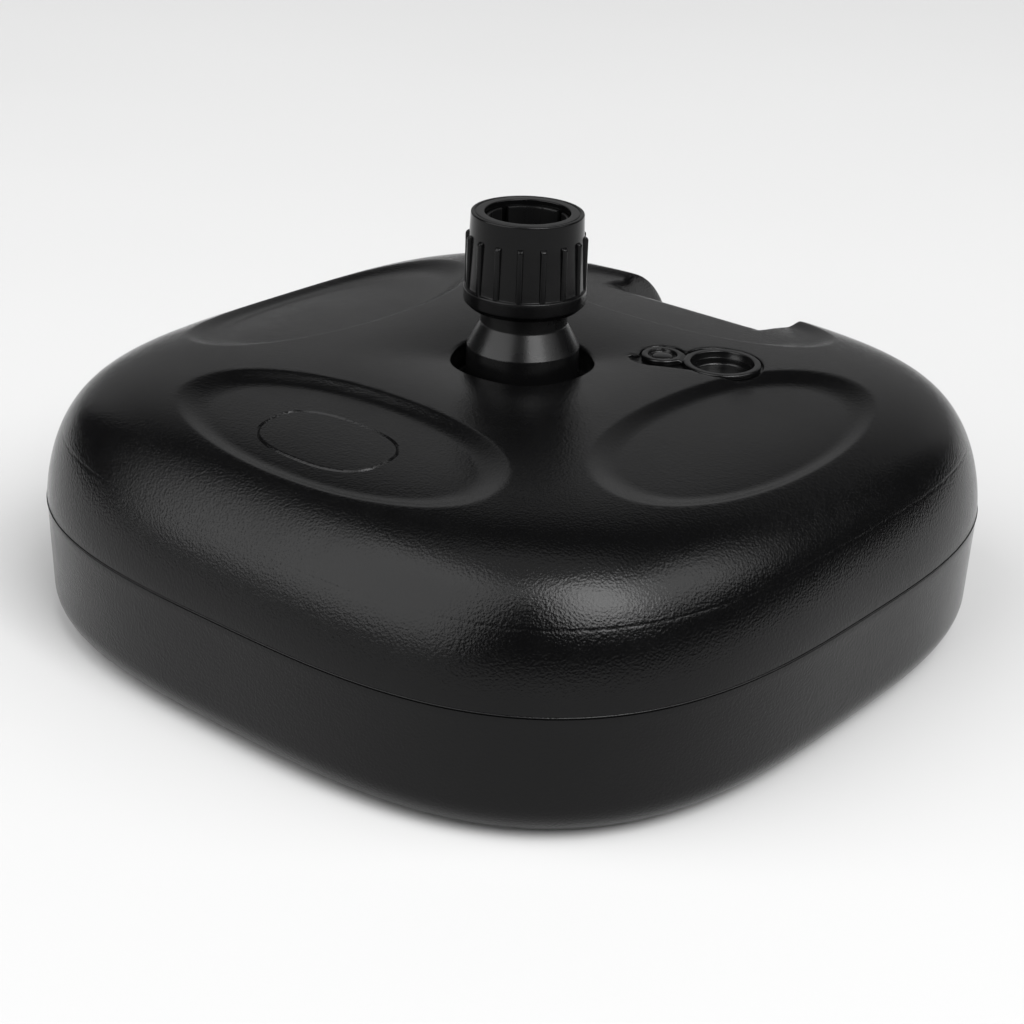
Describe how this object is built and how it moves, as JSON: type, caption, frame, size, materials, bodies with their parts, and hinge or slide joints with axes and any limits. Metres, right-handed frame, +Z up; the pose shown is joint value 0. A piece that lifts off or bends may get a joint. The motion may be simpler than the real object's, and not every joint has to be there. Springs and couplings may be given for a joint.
{
  "type": "parasol base",
  "caption": "Square fillable plastic parasol base with rounded shoulders, four oval recesses, a hand grip, a stand tube with a ribbed screw clamp and a captive filler stopper.",
  "frame": {"origin": "on the ground, in the middle of the tank, on the stand tube's axis", "axes": "+Z up along the pole, -Y towards the recess with the badge outline, +Y towards the hand grip; the filler stopper is in the +X +Y corner"},
  "size_m": [0.45, 0.45, 0.2246],
  "materials": {
    "tank_plastic": "satin black with a fine leather grain",
    "tube_plastic": "smooth glossy black",
    "sleeve_plastic": "smooth matte black",
    "collar_plastic": "satin black",
    "stopper_plastic": "satin black, soft",
    "rivet_plastic": "polished black"
  },
  "bodies": {
    "base": {"tank": "tank_plastic", "stand_tube": "tube_plastic", "stopper_strap": "stopper_plastic", "anchor_rivet": "rivet_plastic"},
    "sleeve": {"clamp_sleeve": "sleeve_plastic"},
    "collar": {"clamp_collar": "collar_plastic"},
    "stopper": {"filler_stopper": "stopper_plastic"}
  },
  "joints": [
    {"name": "sleeve_rise", "type": "slide", "parent": "base", "child": "sleeve", "axis": [0, 0, 1], "range_m": [0, 0.0076]},
    {"name": "collar_turn", "type": "hinge", "parent": "sleeve", "child": "collar", "pos_m": [0, 0, 0.2], "axis": [0, 0, 1], "range_deg": [0, 540]},
    {"name": "stopper_tilt", "type": "hinge", "parent": "base", "child": "stopper", "pos_m": [0.0643, 0.05864, 0.1437], "axis": [0.3907, -0.9205, 0], "range_deg": [0, 100]}
  ],
  "couplings": [
    {"joint": "sleeve_rise", "follows": "collar_turn", "m_per_rad": 0.00079577}
  ]
}
